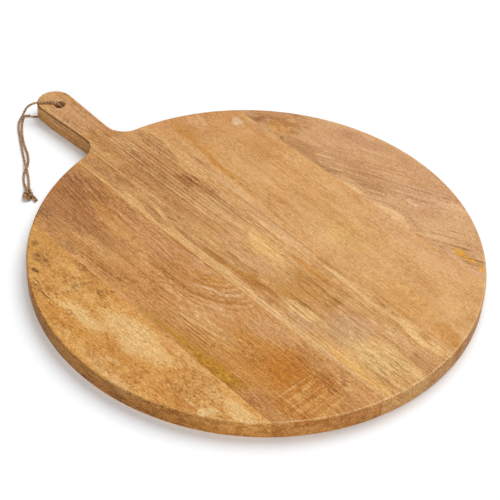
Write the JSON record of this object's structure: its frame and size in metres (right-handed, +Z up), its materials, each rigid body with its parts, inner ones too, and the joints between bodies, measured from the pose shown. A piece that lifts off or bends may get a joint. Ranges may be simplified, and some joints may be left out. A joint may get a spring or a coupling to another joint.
{
  "type": "pizza serving board",
  "caption": "Round wooden board with a short handle, glued up from wide staves, for serving pizza; a knotted loop of jute twine through a hole in the handle hangs it up.",
  "frame": {"origin": "centre of the round part, on its flat underside", "axes": "+Y along the handle to its tip, +Z up through the thickness, +X to the right when the handle points away"},
  "size_m": [0.4, 0.4993, 0.0205],
  "materials": {
    "speckled_wood": "oiled",
    "brown_wood": "oiled",
    "streaked_wood": "oiled",
    "golden_wood": "oiled",
    "heart_wood": "oiled",
    "jute": "matte"
  },
  "bodies": {
    "board": {"far_left_stave": "speckled_wood", "left_stave": "brown_wood", "handle_stave": "streaked_wood", "right_stave": "golden_wood", "far_right_stave": "heart_wood"},
    "hanging_loop": {"upper_strand": "jute", "lower_strand": "jute", "knot": "jute"}
  },
  "joints": [
    {"name": "twine_swing", "type": "hinge", "parent": "board", "child": "hanging_loop", "pos_m": [-0.0055, 0.274, 0], "axis": [0, 0, 1], "range_deg": [-78, 4]}
  ]
}
